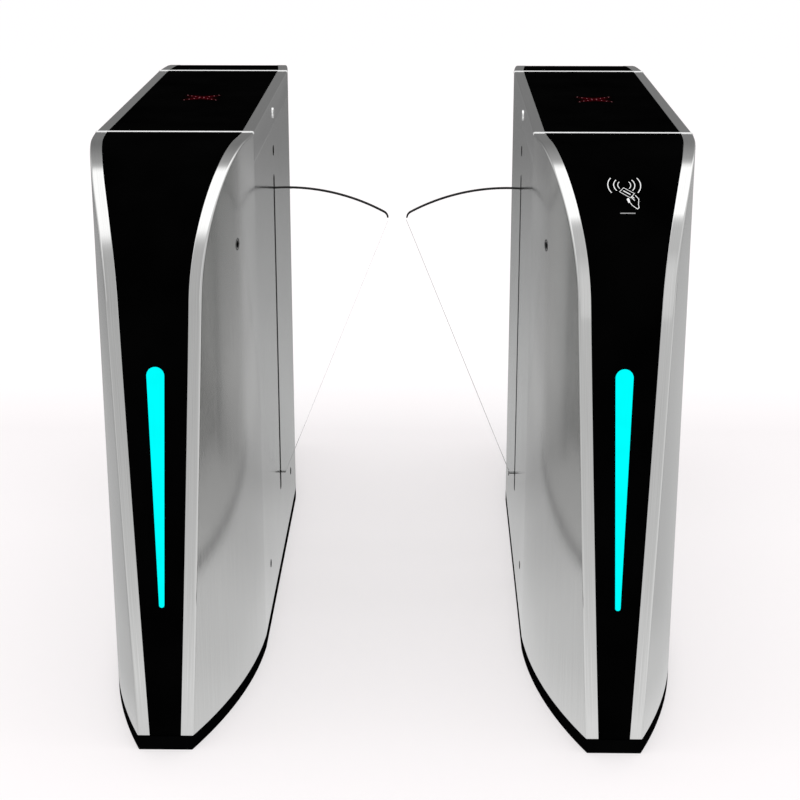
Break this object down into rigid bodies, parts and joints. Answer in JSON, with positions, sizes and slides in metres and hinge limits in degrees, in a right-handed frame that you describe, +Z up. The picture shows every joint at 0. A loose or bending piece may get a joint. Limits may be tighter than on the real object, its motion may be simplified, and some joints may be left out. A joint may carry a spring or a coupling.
{
  "type": "swing barrier turnstile",
  "caption": "Entry lane between two slim steel cabinets, each with a clear fan-shaped wing that turns into an upright slot to let a person through",
  "frame": {"origin": "middle of the lane between the two cabinets, on the floor", "axes": "+Y along the walking direction, away from the near end; +X across the lane to the right; +Z up"},
  "size_m": [1.058, 1.58, 1],
  "materials": {
    "black_plinth": "satin black paint",
    "brushed_steel": "fine upright brushing",
    "polished_trim": "fine satin polish along the trim",
    "black_glass": "high gloss black",
    "cyan_light": "lit light guide, cyan",
    "clear_wing": "clear acrylic, polished",
    "black_edge": "semi-matt black edging",
    "chrome": "bright chrome",
    "zinc_steel": "zinc plate",
    "cast_alloy": "machined casting",
    "gear_steel": "machined steel",
    "motor_grey": "dark grey paint",
    "circuit_green": "solder mask",
    "sensor_black": "satin black"
  },
  "bodies": {
    "root": {"left_base_tray": "black_plinth", "left_inner_side_panel": "brushed_steel", "left_outer_side_panel": "brushed_steel", "left_entry_end_frame": "polished_trim", "left_exit_end_frame": "polished_trim", "left_entry_fascia": "black_glass", "left_exit_fascia": "black_glass", "left_entry_light_strip": "cyan_light", "left_exit_light_strip": "cyan_light", "left_card_reader": "sensor_black", "left_chassis_frame": "zinc_steel", "left_power_supply": "zinc_steel", "left_control_board": "circuit_green", "left_drive_bracket": "cast_alloy", "left_front_bearing": "gear_steel", "left_rear_bearing": "gear_steel", "left_gear_motor": "motor_grey", "right_base_tray": "black_plinth", "right_inner_side_panel": "brushed_steel", "right_outer_side_panel": "brushed_steel", "right_entry_end_frame": "polished_trim", "right_exit_end_frame": "polished_trim", "right_entry_fascia": "black_glass", "right_exit_fascia": "black_glass", "right_entry_light_strip": "cyan_light", "right_exit_light_strip": "cyan_light", "right_card_reader": "sensor_black", "right_chassis_frame": "zinc_steel", "right_power_supply": "zinc_steel", "right_control_board": "circuit_green", "right_drive_bracket": "cast_alloy", "right_front_bearing": "gear_steel", "right_rear_bearing": "gear_steel", "right_gear_motor": "motor_grey"},
    "left_lid": {"left_lid_frame": "polished_trim", "left_lid_glass": "black_glass", "left_indicator_module": "sensor_black", "left_lock_housing": "chrome"},
    "left_lock": {"left_lock_barrel": "chrome"},
    "left_flap": {"left_flap_shaft": "gear_steel", "left_flap_clamp": "cast_alloy", "left_flap_panel": "clear_wing", "left_flap_edge_strip": "black_edge", "left_flap_foot_strip": "black_edge", "left_sector_gear": "gear_steel"},
    "left_pinion": {"left_drive_pinion": "gear_steel"},
    "right_lid": {"right_lid_frame": "polished_trim", "right_lid_glass": "black_glass", "right_indicator_module": "sensor_black", "right_lock_housing": "chrome"},
    "right_lock": {"right_lock_barrel": "chrome"},
    "right_flap": {"right_flap_shaft": "gear_steel", "right_flap_clamp": "cast_alloy", "right_flap_panel": "clear_wing", "right_flap_edge_strip": "black_edge", "right_flap_foot_strip": "black_edge", "right_sector_gear": "gear_steel"},
    "right_pinion": {"right_drive_pinion": "gear_steel"}
  },
  "joints": [
    {"name": "left_flap", "type": "hinge", "parent": "root", "child": "left_flap", "pos_m": [-0.3315, 0, 0.1], "axis": [0, -1, 0], "range_deg": [0, 19]},
    {"name": "left_pinion", "type": "hinge", "parent": "root", "child": "left_pinion", "pos_m": [-0.4115, 0, 0.1], "axis": [0, -1, 0], "range_deg": [-57, 0]},
    {"name": "left_lid", "type": "hinge", "parent": "root", "child": "left_lid", "pos_m": [-0.5255, 0, 0.9445], "axis": [0, -1, 0], "range_deg": [0, 75]},
    {"name": "left_lock", "type": "hinge", "parent": "left_lid", "child": "left_lock", "pos_m": [-0.2465, 0.01, 0.97], "axis": [1, 0, 0], "range_deg": [0, 90]},
    {"name": "right_flap", "type": "hinge", "parent": "root", "child": "right_flap", "pos_m": [0.3315, 0, 0.1], "axis": [0, 1, 0], "range_deg": [0, 19]},
    {"name": "right_pinion", "type": "hinge", "parent": "root", "child": "right_pinion", "pos_m": [0.4115, 0, 0.1], "axis": [0, 1, 0], "range_deg": [-57, 0]},
    {"name": "right_lid", "type": "hinge", "parent": "root", "child": "right_lid", "pos_m": [0.5255, 0, 0.9445], "axis": [0, 1, 0], "range_deg": [0, 75]},
    {"name": "right_lock", "type": "hinge", "parent": "right_lid", "child": "right_lock", "pos_m": [0.2465, -0.01, 0.97], "axis": [-1, 0, 0], "range_deg": [0, 90]}
  ],
  "couplings": [
    {"joint": "left_pinion", "follows": "left_flap", "ratio": -3},
    {"joint": "right_pinion", "follows": "right_flap", "ratio": -3}
  ]
}
